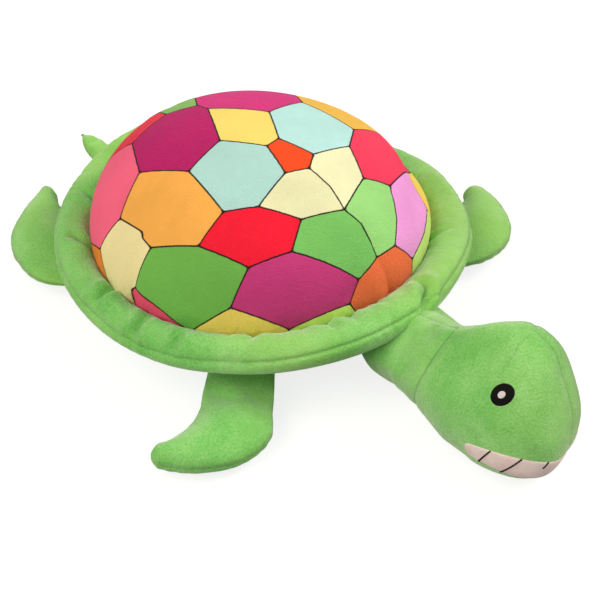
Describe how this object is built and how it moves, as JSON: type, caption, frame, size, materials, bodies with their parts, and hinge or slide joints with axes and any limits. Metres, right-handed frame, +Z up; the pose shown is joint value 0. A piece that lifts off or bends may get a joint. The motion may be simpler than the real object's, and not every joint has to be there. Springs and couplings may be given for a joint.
{
  "type": "plush turtle pillow",
  "caption": "Plush turtle pillow: a stuffed domed shell with a printed patchwork cover and a padded rim, a soft neck, a turned grinning head, paddle flippers and a pointed tail.",
  "frame": {"origin": "centre of the flat underside of the belly, where the pillow rests", "axes": "+Z up, the head end towards -Y and the tail towards +Y, the turtle's left side towards +X"},
  "size_m": [0.446, 0.5498, 0.157],
  "materials": {
    "green_plush": "short velvety nap",
    "printed_plush": "short nap printed with a patchwork of plain coloured polygons in thin black outlines",
    "fibre_fill": "loose polyester fibre",
    "lining_cloth": "plain woven",
    "black_felt": "close satin stitching",
    "white_felt": "close satin stitching",
    "tooth_satin": "smooth satin",
    "black_thread": "stitched"
  },
  "bodies": {
    "shell": {"dome_cover": "printed_plush", "rim_upper_band": "green_plush", "rim_lower_band": "green_plush", "belly_panel": "green_plush", "rim_divider": "lining_cloth", "rim_stuffing": "fibre_fill", "body_stuffing": "fibre_fill"},
    "neck": {"neck_left_panel": "green_plush", "neck_right_panel": "green_plush", "neck_stuffing": "fibre_fill"},
    "head": {"head_left_panel": "green_plush", "head_right_panel": "green_plush", "head_stuffing": "fibre_fill", "eye_left": "black_felt", "eye_right": "black_felt", "eye_left_highlight": "white_felt", "eye_right_highlight": "white_felt", "teeth_patch": "tooth_satin", "tooth_line_left_1": "black_thread", "tooth_line_left_2": "black_thread", "tooth_line_left_3": "black_thread", "tooth_line_right_1": "black_thread", "tooth_line_right_2": "black_thread", "tooth_line_right_3": "black_thread"},
    "front_left_flipper": {"front_left_flipper_upper_panel": "green_plush", "front_left_flipper_lower_panel": "green_plush", "front_left_flipper_stuffing": "fibre_fill"},
    "front_right_flipper": {"front_right_flipper_upper_panel": "green_plush", "front_right_flipper_lower_panel": "green_plush", "front_right_flipper_stuffing": "fibre_fill"},
    "rear_left_flipper": {"rear_left_flipper_upper_panel": "green_plush", "rear_left_flipper_lower_panel": "green_plush", "rear_left_flipper_stuffing": "fibre_fill"},
    "rear_right_flipper": {"rear_right_flipper_upper_panel": "green_plush", "rear_right_flipper_lower_panel": "green_plush", "rear_right_flipper_stuffing": "fibre_fill"},
    "tail": {"tail_upper_panel": "green_plush", "tail_lower_panel": "green_plush", "tail_stuffing": "fibre_fill"}
  },
  "joints": [
    {"name": "neck_lift", "type": "hinge", "parent": "shell", "child": "neck", "pos_m": [0, -0.17221, 0.07465], "axis": [-1, 0, 0], "range_deg": [-10, 20], "stiffness_Nm_per_rad": 3},
    {"name": "head_turn", "type": "hinge", "parent": "neck", "child": "head", "pos_m": [-0.0239, -0.25405, 0.048], "axis": [0, 0, 1], "range_deg": [-43, 8], "stiffness_Nm_per_rad": 0.4},
    {"name": "front_left_flipper_lift", "type": "hinge", "parent": "shell", "child": "front_left_flipper", "pos_m": [0.1086, -0.0789, 0.02], "axis": [-0.5878, -0.809, 0], "range_deg": [-25, 12], "stiffness_Nm_per_rad": 0.3},
    {"name": "front_right_flipper_lift", "type": "hinge", "parent": "shell", "child": "front_right_flipper", "pos_m": [-0.1086, -0.0789, 0.02], "axis": [-0.5878, 0.809, 0], "range_deg": [-25, 12], "stiffness_Nm_per_rad": 0.3},
    {"name": "rear_left_flipper_lift", "type": "hinge", "parent": "shell", "child": "rear_left_flipper", "pos_m": [0.09293, 0.09624, 0.02], "axis": [0.7193, -0.6947, 0], "range_deg": [-25, 12], "stiffness_Nm_per_rad": 0.3},
    {"name": "rear_right_flipper_lift", "type": "hinge", "parent": "shell", "child": "rear_right_flipper", "pos_m": [-0.09293, 0.09624, 0.02], "axis": [0.7193, 0.6947, 0], "range_deg": [-25, 12], "stiffness_Nm_per_rad": 0.3},
    {"name": "tail_lift", "type": "hinge", "parent": "shell", "child": "tail", "pos_m": [0, 0.1349, 0.024], "axis": [1, 0, 0], "range_deg": [-25, 10], "stiffness_Nm_per_rad": 0.15}
  ]
}
